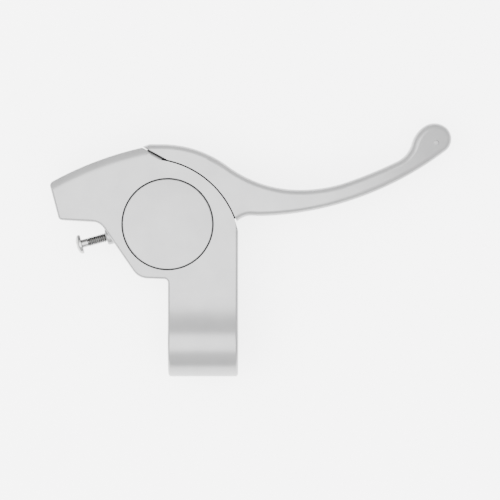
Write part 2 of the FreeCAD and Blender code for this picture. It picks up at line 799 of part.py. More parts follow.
# Lever: head and blade from one plan outline, thinned in the side view.
lever = new_body("lever")
lever_plan = new_sketch(lever, "XY_Plane", "lever_plan")
chain(lever_plan, [
    "tail",
    "tail_top",
    ["head_top", "smooth"],
    ["saddle", "smooth"],
    ["waist", "smooth"],
    ["finger", "smooth"],
    ["neck", "smooth"],
    ["flank_top", "smooth"],
    ["cheek", "smooth"],
    ["tip_top", "smooth"],
    ["tip_low", "smooth"],
    ["back", "smooth"],
    ["bump", "smooth"],
    ["notch", "+lever_parting_radius"],
    "heel_lever",
])
pad(lever, lever_plan, "lever_block", "sizes.half_depth * 2", both=True)
for label, sign, bend in (("top", "", "-"), ("bottom", "-", "+")):
    fall = new_sketch(lever, "XZ_Plane", "blade_" + label + "_line")
    chain(fall, [
        [("blade_fall_x", sign + "half_depth"), bend + "blade_fall_radius"],
        ("blade_tip_x", sign + "blade_tip_z"),
        ("blade_end_x", sign + "blade_tip_z"),
        ("blade_end_x", sign + "blade_clear_z"),
        ("blade_fall_x", sign + "blade_clear_z"),
    ])
    pocket(lever, fall, "blade_" + label, "sizes.blade_clear_y", both=True)


def on_lever_rim(edge):
    """True for the long edges round the top and bottom of head and blade."""
    box = edge.BoundBox
    low, high = edge.ParameterRange
    spots = [edge.valueAt(low + (high - low) * part / 4) for part in range(5)]
    away = [math.hypot(spot.x, spot.y) for spot in spots]
    upright = box.XLength < NEAR and box.YLength < NEAR
    parting = max(away) < math.hypot(size["tail_x"], size["tail_y"]) + NEAR
    across_blade = box.XLength < NEAR
    return not upright and not parting and not across_blade


round_edges(lever, "lever_rounds", "sizes.blade_round", on_lever_rim)

# The web that runs into the housing, with its hub and the seat of the cable anchor.
web = new_sketch(lever, "XY_Plane", "web_plan")
chain(web, [
    ["web_hub", "+hub_radius"],
    "web_sole",
    "web_brow",
    "web_head",
    "web_tail",
    "web_roof",
    ["lobe_high", "+lobe_radius"],
    "lobe_low",
    "tab_high",
    "tab_low",
])
pad(lever, web, "web", "sizes.web_half * 2", both=True)
window = new_sketch(lever, "XY_Plane", "web_window_circle")
circle(window, "web_window_radius", "web_window")
pocket(lever, window, "web_window", "sizes.slot_depth", both=True)
hub_hole = new_sketch(lever, "XY_Plane", "hub_circle")
circle(hub_hole, "hub_bore")
pocket(lever, hub_hole, "hub_hole", "sizes.slot_depth", both=True)
anchor_hole = new_sketch(lever, "XY_Plane", "anchor_circle")
circle(anchor_hole, "anchor_bore", "anchor")
pocket(lever, anchor_hole, "anchor_hole", "sizes.slot_depth", both=True)
fan = new_sketch(lever, "XY_Plane", "cable_fan_plan", "cable_top_z")
chain(fan, ["fan_in", "fan_near", "fan_far"])
pocket(lever, fan, "cable_fan", "sizes.slot_depth")
well = new_sketch(lever, "XY_Plane", "spring_well_plan", "spring_well_z")
circle(well, "spring_core_radius")
circle(well, "spring_well_radius")
pocket(lever, well, "spring_well", "sizes.web_half")
leg_room = new_sketch(lever, "XY_Plane", "spring_leg_plan", "spring_well_z")
chain(leg_room, ["groove_a", "groove_b", "groove_c", "groove_d"])
pocket(lever, leg_room, "spring_leg_groove", "sizes.web_half")

# The small blind hole in the end of the blade and the hollow under the head.
tip_hole = new_sketch(lever, "XY_Plane", "tip_hole_circle", "tip_hole_floor_z")
circle(tip_hole, "tip_hole_radius", "tip_hole")
pocket(lever, tip_hole, "tip_hole", "sizes.half_depth", reverse=True)
hollow = new_sketch(lever, "XY_Plane", "head_hollow_plan", "hollow_roof_z")
chain(hollow, [
    ["hollow_in_low", "+hollow_in_radius"],
    "hollow_in_high",
    "hollow_out_high",
    "hollow_out_low",
])
pocket(lever, hollow, "head_hollow", "sizes.half_depth")
place_body(lever, "pivot_x", "pivot_y")

# Cover cap: a shallow dome on a rim, held by a stem through the ear.
cap = new_body("cover_cap")
cap_side = new_sketch(cap, "XZ_Plane", "cap_side")
chain(cap_side, [
    [(None, "cap_crown_z"), "dome"],
    [("cap_edge_in", "cap_edge_top_z"), "-cap_round"],
    ("cap_radius", "cap_edge_z"),
    ("cap_radius", "recess_floor_z"),
    ("cap_rim_in", "recess_floor_z"),
    ("cap_rim_in", "cap_roof_z"),
    ("cap_hub_radius", "cap_roof_z"),
    ("cap_hub_radius", "recess_floor_z"),
    ("cap_stem_radius", "recess_floor_z"),
    ("cap_stem_radius", "cap_barb_z"),
    ("cap_barb_radius", "cap_stem_end_z"),
    (None, "cap_stem_end_z"),
])
turned(cap, cap_side, "cap_turned")
relief = new_sketch(cap, "XY_Plane", "bolt_relief_circle", "cap_roof_z")
circle(relief, "head_relief", ("relief_x", "relief_y"))
pocket(cap, relief, "bolt_relief", "sizes.cap_roof_z - sizes.recess_floor_z + 1")
place_body(cap, "cap_x", "cap_y")

clip = new_body("cap_clip")
clip_side = new_sketch(clip, "XZ_Plane", "clip_side")
chain(clip_side, [
    ("clip_bore", "clip_bottom_z"),
    ("clip_radius", "clip_bottom_z"),
    ("clip_radius", "clip_pocket_z"),
    ("clip_bore", "clip_pocket_z"),
])
turned(clip, clip_side, "clip_turned")
place_body(clip, "cap_x", "cap_y")

# Pivot bolt with a smooth shoulder, its washer and its nut.
bolt = new_body("pivot_bolt")
bolt_side = new_sketch(bolt, "XZ_Plane", "bolt_side")
chain(bolt_side, [
    (None, "bolt_head_z"),
    ("bolt_head_in", "bolt_head_z"),
    ("bolt_head_radius", "bolt_head_low_z"),
    ("bolt_head_radius", "recess_floor_z"),
    ("shoulder_radius", "recess_floor_z"),
    ("shoulder_radius", "bolt_shoulder_z"),
    ("bolt_thread_radius", "bolt_shoulder_z"),
    ("bolt_thread_radius", "bolt_taper_z"),
    ("bolt_tip_radius", "bolt_end_z"),
    (None, "bolt_end_z"),
])
turned(bolt, bolt_side, "bolt_turned")
key = new_sketch(bolt, "XY_Plane", "bolt_key_plan", "bolt_head_z")
hexagon(key, "bolt_key_flats")
pocket(bolt, key, "bolt_key", "sizes.bolt_key_depth")
place_body(bolt, "pivot_x", "pivot_y")

washer = new_body("pivot_washer")
washer_side = new_sketch(washer, "XZ_Plane", "washer_side")
chain(washer_side, [
    ("washer_bore", "washer_bottom_z"),
    ("washer_radius", "washer_bottom_z"),
    ("washer_radius", "bolt_shoulder_z"),
    ("washer_bore", "bolt_shoulder_z"),
])
turned(washer, washer_side, "washer_turned")
place_body(washer, "pivot_x", "pivot_y")

nut = new_body("pivot_nut")
nut_plan = new_sketch(nut, "XY_Plane", "nut_plan", "washer_bottom_z")
hexagon(nut_plan, "nut_flats")
pad(nut, nut_plan, "nut_block", "sizes.washer_bottom_z - sizes.nut_bottom_z", reverse=True)
nut_hole = new_sketch(nut, "XY_Plane", "nut_circle", "washer_bottom_z")
circle(nut_hole, "nut_bore")
pocket(nut, nut_hole, "nut_hole", "sizes.half_depth")
place_body(nut, "pivot_x", "pivot_y")

# Two flanged bushes, pressed into the hub from above and below.
for label, sign in (("upper_bush", ""), ("lower_bush", "-")):
    bush = new_body(label)
    bush_side = new_sketch(bush, "XZ_Plane", label + "_side")
    chain(bush_side, [
        ("bush_bore", sign + "bush_end_z"),
        ("hub_bore", sign + "bush_end_z"),
        ("hub_bore", sign + "web_half"),
        ("bush_flange_radius", sign + "web_half"),
        ("bush_flange_radius", sign + "bush_flange_z"),
        ("bush_bore", sign + "bush_flange_z"),
    ])
    turned(bush, bush_side, label + "_turned")
    place_body(bush, "pivot_x", "pivot_y")

# Cable anchor: a barrel that turns in the web and holds the head of the cable.
anchor = new_body("cable_anchor")
barrel = new_sketch(anchor, "XY_Plane", "anchor_barrel_circle")
circle(barrel, "anchor_radius")
pad(anchor, barrel, "anchor_barrel", "sizes.anchor_half * 2", both=True)
cup = new_sketch(anchor, "XY_Plane", "anchor_cup_circle", "anchor_roof_z")
circle(cup, "anchor_head_radius")
pocket(anchor, cup, "anchor_cup", "sizes.slot_depth")
mouth = anchor.newObject("PartDesign::SubtractiveBox", "anchor_mouth")
mouth_end = Vector(-size["slot_depth"], -size["cable_slot"] / 2, size["cable_top_z"] - size["slot_depth"])
mouth.Placement = Placement(mouth_end, Rotation())
bind(mouth, "Length", "sizes.slot_depth")
bind(mouth, "Width", "sizes.cable_slot")
bind(mouth, "Height", "sizes.slot_depth")
anchor.Tip = mouth
doc.recompute()
anchor.Placement = Placement(
    pivot + Vector(size["anchor_x"], size["anchor_y"], 0), Rotation(Vector(0, 0, 1), tilt))
bind(anchor, "Placement.Base.x", "sizes.pivot_x + sizes.anchor_x")
bind(anchor, "Placement.Base.y", "sizes.pivot_y + sizes.anchor_y")
bind(anchor, "Placement.Rotation.Angle", "sizes.cable_tilt")

# Return spring: a coil round the hub with a leg to the housing and one to the web.
coil_start = math.radians(size["leg_start"])
coil_sweep = size["coil_turns"] * 2 * math.pi
coil_height = size["coil_pitch"] * size["coil_turns"]


def coil_point(share):
    """A place on the coil, from 0 at its lower end to 1 at its upper end."""
    angle = coil_start + coil_sweep * share
    reach = size["coil_radius"]
    return Vector(reach * math.cos(angle), reach * math.sin(angle), size["coil_low_z"] + coil_height * share)


def coil_course(share):
    """The level direction of the wire at that place."""
    angle = coil_start + coil_sweep * share
    return Vector(-math.sin(angle), math.cos(angle), 0)


bends = int(size["coil_bends"])
path = [coil_point(0.0) - coil_course(0.0) * size["leg_length"]]
path += [coil_point(number / bends) for number in range(bends + 1)]
path.append(coil_point(1.0) + coil_course(1.0) * size["leg_length"])
wire_end = Part.Wire([Part.Circle(path[0], coil_course(0.0), size["wire_radius"]).toShape()])
spring = doc.addObject("Part::Feature", "return_spring")
spring.Label = "return_spring"
spring.Shape = Part.makePolygon(path).makePipeShell([wire_end], True, False, 1)
spring.Placement = Placement(pivot, Rotation())
bind(spring, "Placement.Base.x", "sizes.pivot_x")
bind(spring, "Placement.Base.y", "sizes.pivot_y")

# Clamp bolt with its washer.
clamp_bolt = new_body("clamp_bolt")
clamp_bolt_side = new_sketch(clamp_bolt, "XZ_Plane", "clamp_bolt_side")
chain(clamp_bolt_side, [
    (None, "clamp_bolt_top_z"),
    ("clamp_tip_radius", "clamp_bolt_top_z"),
    ("clamp_thread_radius", "clamp_taper_z"),
    ("clamp_thread_radius", "clamp_head_top_z"),
    ("clamp_head_radius", "clamp_head_top_z"),
    ("clamp_head_radius", "clamp_head_low_z"),
    ("clamp_head_in", "clamp_head_bottom_z"),
    (None, "clamp_head_bottom_z"),
])
turned(clamp_bolt, clamp_bolt_side, "clamp_bolt_turned")
clamp_key = new_sketch(clamp_bolt, "XY_Plane", "clamp_key_plan", "clamp_head_bottom_z")
hexagon(clamp_key, "clamp_key_flats")
pocket(clamp_bolt, clamp_key, "clamp_key", "sizes.clamp_key_depth", reverse=True)
place_body(clamp_bolt, "zero_x", "clamp_bolt_y")
clamp_washer = new_body("clamp_washer")
clamp_washer_side = new_sketch(clamp_washer, "XZ_Plane", "clamp_washer_side")
chain(clamp_washer_side, [
    ("washer_bore", "clamp_head_top_z"),
    ("clamp_washer_radius", "clamp_head_top_z"),
    ("clamp_washer_radius", "clamp_seat_z"),
    ("washer_bore", "clamp_seat_z"),
])
turned(clamp_washer, clamp_washer_side, "clamp_washer_turned")
place_body(clamp_washer, "zero_x", "clamp_bolt_y")

# Reach screw: domed head with a cross recess, turned round its own X axis.
screw = new_body("reach_screw")
screw_side = new_sketch(screw, "XY_Plane", "screw_side")
chain(screw_side, [
    [("screw_crown_x", None), "dome"],
    ("screw_rim_x", "screw_head_radius"),
    ("screw_seat_x", "screw_head_radius"),
    ("screw_seat_x", "screw_radius"),
    ("screw_taper_x", "screw_radius"),
    ("screw_tip_x", "screw_tip_radius"),
    ("screw_tip_x", None),
])
turned(screw, screw_side, "screw_turned", axis="H_Axis")
for label, width, length in (("cross_up", "cross_width", "cross_length"),
                             ("cross_side", "cross_length", "cross_width")):
    arm = screw.newObject("PartDesign::SubtractiveBox", label)
    arm.Placement = Placement(
        Vector(size["screw_crown_x"] - 1, -size[width] / 2, -size[length] / 2), Rotation())
    bind(arm, "Length", "sizes.cross_depth + 1")
    bind(arm, "Width", "sizes." + width)
    bind(arm, "Height", "sizes." + length)
    screw.Tip = arm
    doc.recompute()
place_body(screw, "boss_x", "boss_y", "cable_tilt")

# Rubber pad that the web rests against when the lever is let go.
stop_pad = new_body("stop_pad")
pad_side = new_sketch(stop_pad, "XY_Plane", "pad_side")
chain(pad_side, [
    ("pad_in", None),
    ("pad_in", "pad_radius"),
    ("pad_rim_x", "pad_radius"),
    ("pad_face_x", "pad_face_radius"),
    ("pad_face_x", None),
])
turned(stop_pad, pad_side, "pad_turned", axis="H_Axis")
stop_pad.Placement = Placement(pad_spot, Rotation(Vector(0, 0, 1), pad_turn))
bind(stop_pad, "Placement.Base.x", "sizes.pivot_x + sizes.pad_x")
bind(stop_pad, "Placement.Base.y", "sizes.pivot_y + sizes.pad_y")
bind(stop_pad, "Placement.Rotation.Angle", "sizes.pad_turn")
doc.recompute()

NODES = ["housing", "lever", "cover_cap", "cap_clip", "pivot_bolt", "pivot_washer", "pivot_nut",
         "upper_bush", "lower_bush", "cable_anchor", "return_spring", "clamp_bolt", "clamp_washer",
         "reach_screw", "stop_pad"]
for item in doc.Objects:
    if "Invalid" in item.State or "Error" in item.State:
        raise ValueError(item.Name + " did not build")
for name in NODES:
    piece = doc.getObject(name)
    if piece.Shape.isNull() or not piece.Shape.isValid():
        raise ValueError(name + " is not a sound solid")
    piece.Shape.exportStep("parts/" + name + ".step")
    print(name, round(piece.Shape.Volume, 1), len(piece.Shape.Solids))
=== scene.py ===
# %% [markdown]
# A bicycle brake lever is a small machine of castings, pins and screws. The sizes
# and the moving bodies come packed from the CAD model, so the first step only
# loads them and keeps the box they fill. Everything made later has to stay in it.

# %% Load the frame
import bpy
import json
import math
from mathutils import Matrix, Vector


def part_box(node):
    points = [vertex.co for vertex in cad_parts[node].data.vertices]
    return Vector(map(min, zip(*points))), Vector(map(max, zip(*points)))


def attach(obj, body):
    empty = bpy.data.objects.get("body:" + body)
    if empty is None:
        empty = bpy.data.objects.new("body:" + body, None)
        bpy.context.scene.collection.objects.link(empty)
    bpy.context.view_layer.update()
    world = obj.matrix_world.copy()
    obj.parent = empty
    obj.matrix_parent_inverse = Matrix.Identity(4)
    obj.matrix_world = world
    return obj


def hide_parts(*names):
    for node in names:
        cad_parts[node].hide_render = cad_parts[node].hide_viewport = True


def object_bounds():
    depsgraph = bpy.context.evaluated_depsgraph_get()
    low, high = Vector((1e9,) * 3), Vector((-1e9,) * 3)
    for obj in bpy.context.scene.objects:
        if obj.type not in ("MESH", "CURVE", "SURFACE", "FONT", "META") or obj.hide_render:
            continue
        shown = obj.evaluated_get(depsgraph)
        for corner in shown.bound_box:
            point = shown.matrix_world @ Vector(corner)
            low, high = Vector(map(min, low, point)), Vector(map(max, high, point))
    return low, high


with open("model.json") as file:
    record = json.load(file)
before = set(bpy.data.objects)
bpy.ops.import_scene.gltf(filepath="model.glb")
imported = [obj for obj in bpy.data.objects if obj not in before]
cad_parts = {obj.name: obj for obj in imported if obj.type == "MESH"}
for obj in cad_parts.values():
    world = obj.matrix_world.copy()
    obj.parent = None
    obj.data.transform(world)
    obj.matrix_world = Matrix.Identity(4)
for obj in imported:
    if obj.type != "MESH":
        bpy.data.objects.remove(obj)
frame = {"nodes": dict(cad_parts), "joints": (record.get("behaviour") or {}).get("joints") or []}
cad_box = [list(corner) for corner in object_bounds()]
print("box in mm", [[round(value * 1000, 1) for value in corner] for corner in cad_box])

# %% [markdown]
# Some finishes and pieces need to know where things are. The frame tells most of
# it: the line that the lever turns round, the line that the reach screw slides on,
# and the middle of any node. Here only the face of the screw's boss is typed in.

# %% Places
MM = 0.001
joints = {joint["name"]: joint for joint in frame["joints"]}
PIVOT = Vector(joints["lever_hinge"]["pos_m"])
SCREW_LINE = Vector(joints["reach_slide"]["axis"]).normalized()
SCREW_BOSS = Vector((-40.2, 42.6, 0)) * MM
UPRIGHT = Vector((0, 0, 1))


def middle(node):
    """The middle of a node's box."""
    low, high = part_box(node)
    return (Vector(low) + Vector(high)) / 2


CAP = middle("cover_cap")
CLAMP_BOLT = middle("clamp_bolt")
print("pivot", PIVOT, "cap", CAP, "clamp bolt", CLAMP_BOLT)

# %% [markdown]
# The photograph looks straight down on the lever, with its length across the
# picture. A camera far above with a long lens gives the same slight perspective.
# The picture is 500 dots wide, and the top face of the casting is 2.44 dots to the
# millimetre, so the camera's height and its lens follow from each other.

# %% Camera
PICTURE_DOTS, DOTS_PER_MM = 500, 2.44
TOP_FACE = 11.5 * MM
CAMERA_HEIGHT = 1200 * MM
VIEW_WIDTH = PICTURE_DOTS / DOTS_PER_MM * MM
AIM = Vector((19.3 * MM, 37.3 * MM, 0))
SENSOR = 36

camera_data = bpy.data.cameras.new("camera")
camera_data.sensor_width = SENSOR
camera_data.lens = SENSOR * CAMERA_HEIGHT / VIEW_WIDTH
camera_data.clip_start = 0.01
camera = bpy.data.objects.new("camera", camera_data)
bpy.context.scene.collection.objects.link(camera)
camera.location = AIM + Vector((0, 0, TOP_FACE + CAMERA_HEIGHT))
bpy.context.scene.camera = camera
print("lens", round(camera_data.lens, 1), "mm")

# %% [markdown]
# A node material is a small graph. Two short helpers add one step of arithmetic to
# it, on numbers or on vectors, and join what comes in. With them a rule such as
# "dark where this wall is" reads almost like the sentence itself.

# %% Graph helpers
MEASURES = ("DISTANCE", "LENGTH", "DOT_PRODUCT")


def feed(material, node, values):
    """Joins sockets to a node's inputs, or sets them to plain values."""
    for socket, value in zip(node.inputs, values):
        if isinstance(value, bpy.types.NodeSocket):
            material.node_tree.links.new(value, socket)
        else:
            socket.default_value = value


def calc(material, operation, *values):
    """One step of arithmetic on numbers."""
    node = material.node_tree.nodes.new("ShaderNodeMath")
    node.operation = operation
    feed(material, node, values)
    return node.outputs["Value"]


def calc_vector(material, operation, *values):
    """One step of arithmetic on vectors; a measure gives a number."""
    node = material.node_tree.nodes.new("ShaderNodeVectorMath")
    node.operation = operation
    feed(material, node, values)
    return node.outputs["Value" if operation in MEASURES else "Vector"]


# %% [markdown]
# Every finish starts from the same few nodes: the place on the object, a noise in
# real millimetres and the shader. The noise can change the tone, the gloss or the
# height of the surface, so each of these is a helper, and a finish is a short list.

# %% Finish helpers
def new_finish(name, metallic, roughness):
    """A material with its shader, and the place on the object in metres."""
    material = bpy.data.materials.new(name)
    material.use_nodes = True
    nodes = material.node_tree.nodes
    shader = nodes["Principled BSDF"]
    shader.inputs["Metallic"].default_value = metallic
    shader.inputs["Roughness"].default_value = roughness
    return material, shader, nodes.new("ShaderNodeTexCoord").outputs["Object"]


def noise(material, place, grain_mm, detail=4.0):
    """A noise whose spots are about grain_mm across."""
    texture = material.node_tree.nodes.new("ShaderNodeTexNoise")
    texture.inputs["Scale"].default_value = 1000 / grain_mm
    texture.inputs["Detail"].default_value = detail
    material.node_tree.links.new(place, texture.inputs["Vector"])
    return texture.outputs["Fac"]


def tint(material, shader, factor, dark, light):
    """Colours the surface between two tones by a noise."""
    ramp = material.node_tree.nodes.new("ShaderNodeValToRGB")
    ramp.color_ramp.elements[0].position = 0.3
    ramp.color_ramp.elements[1].position = 0.7
    ramp.color_ramp.elements[0].color = (*dark, 1)
    ramp.color_ramp.elements[1].color = (*light, 1)
    material.node_tree.links.new(factor, ramp.inputs["Fac"])
    material.node_tree.links.new(ramp.outputs["Color"], shader.inputs["Base Color"])


def spread(material, factor, low, high, start=0.0, end=1.0):
    """Stretches a factor that runs from start to end so that it runs from low to high."""
    node = material.node_tree.nodes.new("ShaderNodeMapRange")
    feed(material, node, (factor, start, end, low, high))
    return node.outputs["Result"]


def relief(material, shader, factor, height_mm, strength=1.0):
    """Raises the surface by a noise."""
    bump = material.node_tree.nodes.new("ShaderNodeBump")
    bump.inputs["Distance"].default_value = height_mm * MM
    bump.inputs["Strength"].default_value = strength
    material.node_tree.links.new(factor, bump.inputs["Height"])
    material.node_tree.links.new(bump.outputs["Normal"], shader.inputs["Normal"])


def paint_over(material, shader, mask, colour):
    """Lays a second colour over the first where the mask is 1."""
    links = material.node_tree.links
    mix = material.node_tree.nodes.new("ShaderNodeMix")
    mix.data_type = "RGBA"
    first, second = [socket for socket in mix.inputs if socket.type == "RGBA"]
    links.new(mask, mix.inputs[0])
    links.new(shader.inputs["Base Color"].links[0].from_socket, first)
    second.default_value = (*colour, 1)
    blended = [socket for socket in mix.outputs if socket.type == "RGBA"]
    links.new(blended[0], shader.inputs["Base Color"])


def dress(material, *names):
    """Gives a finish to CAD nodes."""
    for name in names:
        piece = frame["nodes"][name]
        piece.data.materials.clear()
        piece.data.materials.append(material)
    print(material.name, "on", ", ".join(names))


# %% [markdown]
# The walls in the narrow gaps are coloured near black as painted shade, and that draws the black
# lines between housing, lever and cap. A mask finds such walls. One kind is a wall at a known
# radius round an upright line, the other a wall along a straight line, and each is kept to its own
# stretch.

# %% Masks for the gaps
def both(material, first, second):
    """1 where two masks are both 1."""
    return calc(material, "MULTIPLY", first, second)


def within(material, place, low, high):
    """1 inside a box of the object, 0 outside."""
    centre = (low + high) / 2
    off = calc_vector(material, "SUBTRACT", place, centre)
    split = material.node_tree.nodes.new("ShaderNodeSeparateXYZ")
    material.node_tree.links.new(off, split.inputs[0])
    half = high - centre
    x, y, z = [calc(material, "COMPARE", split.outputs[axis], 0.0, half[axis])
               for axis in range(3)]
    return both(material, both(material, x, y), z)


def round_wall(material, place, centre, radius, slack):
    """1 on upright walls at a radius round a line, 0 elsewhere."""
    level = calc_vector(material, "MULTIPLY", place, (1, 1, 0))
    away = calc_vector(material, "DISTANCE", level, (centre.x, centre.y, 0))
    return calc(material, "COMPARE", away, radius, slack)


def straight_wall(material, place, start, end, slack):
    """1 on upright walls along a straight line in the plan, 0 elsewhere."""
    course = (end - start).normalized()
    off = calc_vector(material, "SUBTRACT", place, start)
    side = calc_vector(material, "DOT_PRODUCT", off, UPRIGHT.cross(course))
    along = calc_vector(material, "DOT_PRODUCT", off, course)
    half = (end - start).length / 2
    return both(material, calc(material, "COMPARE", side, 0.0, slack),
                calc(material, "COMPARE", along, half, half))


# %% [markdown]
# The housing, the lever and the cover cap are cast or forged aluminium that was
# tumbled and painted silver. The flakes in the paint make a very fine grain, and
# the paint is a little uneven. Full metal would mirror the room in hard patches,
# so the shader is part metal and part paint, which gives the soft even grey.

# %% Silver finish
SILVER_DARK, SILVER_LIGHT = (0.25, 0.25, 0.252), (0.275, 0.275, 0.276)
FLAKE_MM, CLOUD_MM = 0.18, 9.0

silver, shader, place = new_finish("silver_paint", 0.7, 0.3)
flakes = noise(silver, place, FLAKE_MM)
tint(silver, shader, noise(silver, place, CLOUD_MM, detail=3.0), SILVER_DARK, SILVER_LIGHT)
silver.node_tree.links.new(spread(silver, flakes, 0.28, 0.38), shader.inputs["Roughness"])
relief(silver, shader, flakes, 0.006, strength=0.5)

# %% [markdown]
# The gap between lever and housing is an arc round the pivot, and then a straight
# run up to the tail of the lever. The groove round the cap is an arc round the cap.
# The stretch of each mask keeps it off other walls that stand at the same radius.

# %% Dark gaps
# Near black, painted shade for the walls of the gaps.
GAP_SHADE = (0.012, 0.012, 0.013)
REACH = 20 * MM
ARC_RADIUS, ARC_SLACK = 38.2 * MM, 0.32 * MM
ARC_LOW, ARC_HIGH = Vector((-17 * MM, 42 * MM, -REACH)), Vector((20 * MM, 77 * MM, REACH))
TAIL_START, TAIL_END = Vector((-14.7, 73.95, 0)) * MM, Vector((-24.6, 79.4, 0)) * MM
TAIL_SLACK = 0.3 * MM
GROOVE_RADIUS, GROOVE_SLACK = 18.7 * MM, 0.27 * MM
GROOVE_LOW = CAP - Vector((20, 20, 3.6)) * MM
GROOVE_HIGH = CAP + Vector((20, 20, 5)) * MM

# Painted shade: the walls of the gaps are coloured near black.
arc_stretch = within(silver, place, ARC_LOW, ARC_HIGH)
arc_wall = both(silver, round_wall(silver, place, PIVOT, ARC_RADIUS, ARC_SLACK), arc_stretch)
paint_over(silver, shader, arc_wall, GAP_SHADE)
tail_wall = straight_wall(silver, place, TAIL_START, TAIL_END, TAIL_SLACK)
paint_over(silver, shader, tail_wall, GAP_SHADE)
cap_stretch = within(silver, place, GROOVE_LOW, GROOVE_HIGH)
cap_wall = both(silver, round_wall(silver, place, CAP, GROOVE_RADIUS, GROOVE_SLACK), cap_stretch)
paint_over(silver, shader, cap_wall, GAP_SHADE)
dress(silver, "housing", "lever", "cover_cap")

# %% [markdown]
# Bolts, nuts and washers are steel with bright zinc. Turned steel shows fine rings
# and the zinc a slight cloudy sheen, so a fine noise lightens and darkens it.

# %% Zinc finish
ZINC_DARK = (0.24, 0.24, 0.237)
ZINC_LIGHT = (0.34, 0.34, 0.336)


def zinc_finish(name):
    """Bright zinc on steel, with a cloudy sheen."""
    material, shader, place = new_finish(name, 1.0, 0.22)
    cloud = noise(material, place, 1.6, detail=3.0)
    tint(material, shader, cloud, ZINC_DARK, ZINC_LIGHT)
    material.node_tree.links.new(spread(material, cloud, 0.14, 0.28), shader.inputs["Roughness"])
    relief(material, shader, noise(material, place, 0.12), 0.003, strength=0.4)
    return material, shader, place


zinc = zinc_finish("bright_zinc")[0]
dress(zinc, "pivot_bolt", "pivot_washer", "pivot_nut", "clamp_bolt", "clamp_washer", "reach_screw")

# %% [markdown]
# The inner parts have four more finishes: the spring and the clip are oiled spring
# steel, the bushes are black nylon, the cable anchor is brass and the stop pad is
# rubber. Each is the same recipe with other numbers, so a table holds them: name,
# metal, roughness, dark and light tone, cloud and bump in millimetres, and wearers.

# %% Finishes of the inner parts
INNER = (
    ("spring_steel", 1.0, 0.3, (0.3, 0.3, 0.32), (0.42, 0.42, 0.43), 0.8, 0.003,
     ("return_spring", "cap_clip")),
    ("bush_nylon", 0.0, 0.5, (0.02, 0.02, 0.022), (0.035, 0.035, 0.037), 1.2, 0.004,
     ("upper_bush", "lower_bush")),
    ("anchor_brass", 1.0, 0.32, (0.6, 0.43, 0.2), (0.72, 0.54, 0.27), 1.5, 0.003,
     ("cable_anchor",)),
    ("pad_rubber", 0.0, 0.75, (0.018, 0.018, 0.018), (0.03, 0.03, 0.03), 0.7, 0.01,
     ("stop_pad",)),
)
for name, metallic, roughness, dark, light, cloud_mm, bump_mm, wearers in INNER:
    material, shader, place = new_finish(name, metallic, roughness)
    tint(material, shader, noise(material, place, cloud_mm), dark, light)
    relief(material, shader, noise(material, place, 0.12), bump_mm, strength=0.5)
    dress(material, *wearers)

# %% [markdown]
# A real screw thread is too fine for the CAD model, so the CAD shank is a plain
# bar as thick as the thread's crests. The pieces below are made of rings of points,
# one above the other, like a lathe's cuts. The radius of a ring may follow a rule
# of the angle, which gives hexagons, crosses and knurls with the same few lines.

# %% Rings and skins
COUNT = 72


def ring(radius, height):
    """Points round Z; the radius may be a rule of the angle, the height a rule of the radius."""
    points = []
    for k in range(COUNT):
        angle = 2 * math.pi * k / COUNT
        far = radius(angle) if callable(radius) else radius
        rise = height(far) if callable(height) else height
        points.append(Vector((far * math.cos(angle), far * math.sin(angle), rise)))
    return points


def skin(name, rings, closed=False):
    """Joins rings with faces; both ends get a lid, or the last ring meets the first."""
    points = [tuple(point) for one in rings for point in one]
    total = len(rings)
    faces = []
    for step in range(total if closed else total - 1):
        low, high = step * COUNT, (step + 1) % total * COUNT
        for k in range(COUNT):
            after = (k + 1) % COUNT
            faces.append((low + k, low + after, high + after, high + k))
    if not closed:
        faces.append(tuple(reversed(range(COUNT))))
        faces.append(tuple(range(len(points) - COUNT, len(points))))
    mesh = bpy.data.meshes.new(name)
    mesh.from_pydata(points, [], faces)
    mesh.update()
    return mesh


# %% [markdown]
# The rules for the rings: a hexagon, a cross, a knurl and the thread itself. In a
# thread each point's radius rises and falls with its height plus its share of a
# turn, and that alone winds the ridge round the bar. It fades out at both ends.

# %% Rules for the rings
def hexagon(flats):
    """The radius of a hexagon with its corners on X, from its width across flats."""
    return lambda angle: flats / 2 / math.cos(angle % (math.pi / 3) - math.pi / 6)


def cross(span, width):
    """The radius of a cross, from its half span and its half width."""
    def radius(angle):
        c, s = max(abs(math.cos(angle)), 1e-6), max(abs(math.sin(angle)), 1e-6)
        return max(min(span / c, width / s), min(width / c, span / s))
    return radius


def knurl(radius, depth):
    """A round edge with a ridge at every other point."""
    return lambda angle: radius - depth * (round(angle / (2 * math.pi) * COUNT) % 2)


def thread(start, end, crest, pitch, depth):
    """The rings of a screw thread from start to end."""
    steps = int(round((end - start) / pitch * 8))
    rings = []
    for step in range(steps + 1):
        height = start + (end - start) * step / steps
        fade = min(1.0, min(height - start, end - height) / (0.8 * pitch))

        def radius(angle, height=height, fade=fade):
            phase = (height / pitch - angle / (2 * math.pi)) % 1.0
            slope = min(1.0, max(0.0, abs(2 * phase - 1) * 1.25 - 0.125))
            return crest - depth * max(slope, 1.0 - fade)

        rings.append(ring(radius, height))
    return rings


# %% [markdown]
# The roots of a thread are coloured dark, partly as grease and partly as painted shade. The mask
# for that is the distance from the screw's own line: near the root it is 1, at the crest 0. The
# finish is the zinc from before with that dark colour laid over, along the threaded stretch only.

# %% Threaded finish
# The dark colour of the thread roots, partly grease and partly painted shade.
ROOT_SHADE_AND_GREASE = (0.05, 0.05, 0.05)
ROOT_SHARE, ROOT_SHADE_SHARE = 0.95, 0.35


